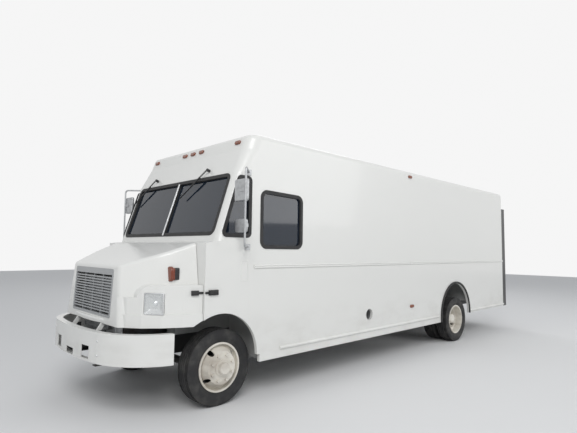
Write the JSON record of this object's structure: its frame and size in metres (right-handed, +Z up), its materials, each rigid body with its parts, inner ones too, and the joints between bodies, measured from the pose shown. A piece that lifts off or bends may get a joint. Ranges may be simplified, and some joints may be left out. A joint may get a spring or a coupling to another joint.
{
  "type": "step van",
  "caption": "Walk-in step van with a sloped tilt hood, boxed load body, sliding entry door, swinging rear doors, steered front wheels and paired rear wheels.",
  "frame": {"origin": "on the ground under the middle of the van's overall box", "axes": "+X forward, +Y to the driver's left, +Z up"},
  "size_m": [9.0249, 2.862, 2.965],
  "materials": {
    "body_white": "gloss",
    "wheel_white": "satin",
    "black_rubber": "matte",
    "tyre_rubber": "matte",
    "window_glass": "gloss",
    "black_steel": "satin",
    "grey_floor": "matte",
    "bare_metal": "satin",
    "cast_iron": "matte",
    "mirror_glass": "gloss",
    "amber_lens": "gloss",
    "red_lens": "gloss",
    "clear_lens": "gloss",
    "silver_plastic": "satin",
    "black_plastic": "matte",
    "seat_fabric": "matte"
  },
  "bodies": {
    "chassis": {"cab_front": "body_white", "side_wall_left": "body_white", "side_wall_right": "body_white", "window_seals": "black_rubber", "cab_glass": "window_glass", "roof_cap": "body_white", "rear_frame": "body_white", "rear_posts": "black_steel", "floor": "grey_floor", "side_rails": "body_white", "wheel_flares": "black_rubber", "splash_panels": "grey_floor", "mirrors": "black_steel", "mirror_glass": "mirror_glass", "marker_lamps": "amber_lens", "tail_lamps": "red_lens", "dashboard": "black_plastic", "driver_seat": "seat_fabric", "seat_base": "black_steel", "frame_rails": "black_steel", "leaf_springs": "black_steel", "front_axle": "black_steel", "rear_axle": "black_steel", "engine_block": "cast_iron", "radiator": "bare_metal", "drive_shaft": "black_steel", "fuel_tank": "bare_metal", "front_bumper": "body_white", "rear_bumper": "black_steel"},
    "hood": {"hood_shell": "body_white", "grille": "silver_plastic", "headlamps": "clear_lens", "turn_lamps": "amber_lens"},
    "knuckle_left": {"knuckle_left": "black_steel"},
    "knuckle_right": {"knuckle_right": "black_steel"},
    "wheel_front_left": {"tyre_front_left": "tyre_rubber", "rim_front_left": "wheel_white"},
    "wheel_front_right": {"tyre_front_right": "tyre_rubber", "rim_front_right": "wheel_white"},
    "wheels_rear_left": {"tyres_rear_left": "tyre_rubber", "rims_rear_left": "wheel_white"},
    "wheels_rear_right": {"tyres_rear_right": "tyre_rubber", "rims_rear_right": "wheel_white"},
    "entry_door": {"entry_door": "body_white", "entry_glass": "window_glass"},
    "rear_door_left": {"rear_door_left": "body_white", "rear_glass_left": "window_glass"},
    "rear_door_right": {"rear_door_right": "body_white", "rear_glass_right": "window_glass"}
  },
  "joints": [
    {"name": "hood_tilt", "type": "hinge", "parent": "chassis", "child": "hood", "pos_m": [4.3675, 0, 0.78], "axis": [0, 1, 0], "range_deg": [0, 60]},
    {"name": "steer_left", "type": "hinge", "parent": "chassis", "child": "knuckle_left", "pos_m": [3.3375, 0.8, 0.4], "axis": [0, 0, 1], "range_deg": [-35, 35]},
    {"name": "steer_right", "type": "hinge", "parent": "chassis", "child": "knuckle_right", "pos_m": [3.3375, -0.8, 0.4], "axis": [0, 0, 1], "range_deg": [-35, 35]},
    {"name": "spin_front_left", "type": "hinge", "parent": "knuckle_left", "child": "wheel_front_left", "pos_m": [3.3375, 0.947, 0.4], "axis": [0, 1, 0], "continuous": true},
    {"name": "spin_front_right", "type": "hinge", "parent": "knuckle_right", "child": "wheel_front_right", "pos_m": [3.3375, -0.947, 0.4], "axis": [0, 1, 0], "continuous": true},
    {"name": "spin_rear_left", "type": "hinge", "parent": "chassis", "child": "wheels_rear_left", "pos_m": [-1.9455, 0.9175, 0.4], "axis": [0, 1, 0], "continuous": true},
    {"name": "spin_rear_right", "type": "hinge", "parent": "chassis", "child": "wheels_rear_right", "pos_m": [-1.9455, -0.9175, 0.4], "axis": [0, 1, 0], "continuous": true},
    {"name": "entry_slide", "type": "slide", "parent": "chassis", "child": "entry_door", "axis": [-1, 0, 0], "range_m": [0, 0.68]},
    {"name": "rear_door_left_hinge", "type": "hinge", "parent": "chassis", "child": "rear_door_left", "pos_m": [-4.3755, 1.088, 1.68], "axis": [0, 0, -1], "range_deg": [0, 180]},
    {"name": "rear_door_right_hinge", "type": "hinge", "parent": "chassis", "child": "rear_door_right", "pos_m": [-4.3755, -1.088, 1.68], "axis": [0, 0, 1], "range_deg": [0, 180]}
  ],
  "couplings": [
    {"joint": "steer_right", "follows": "steer_left", "ratio": 1}
  ]
}
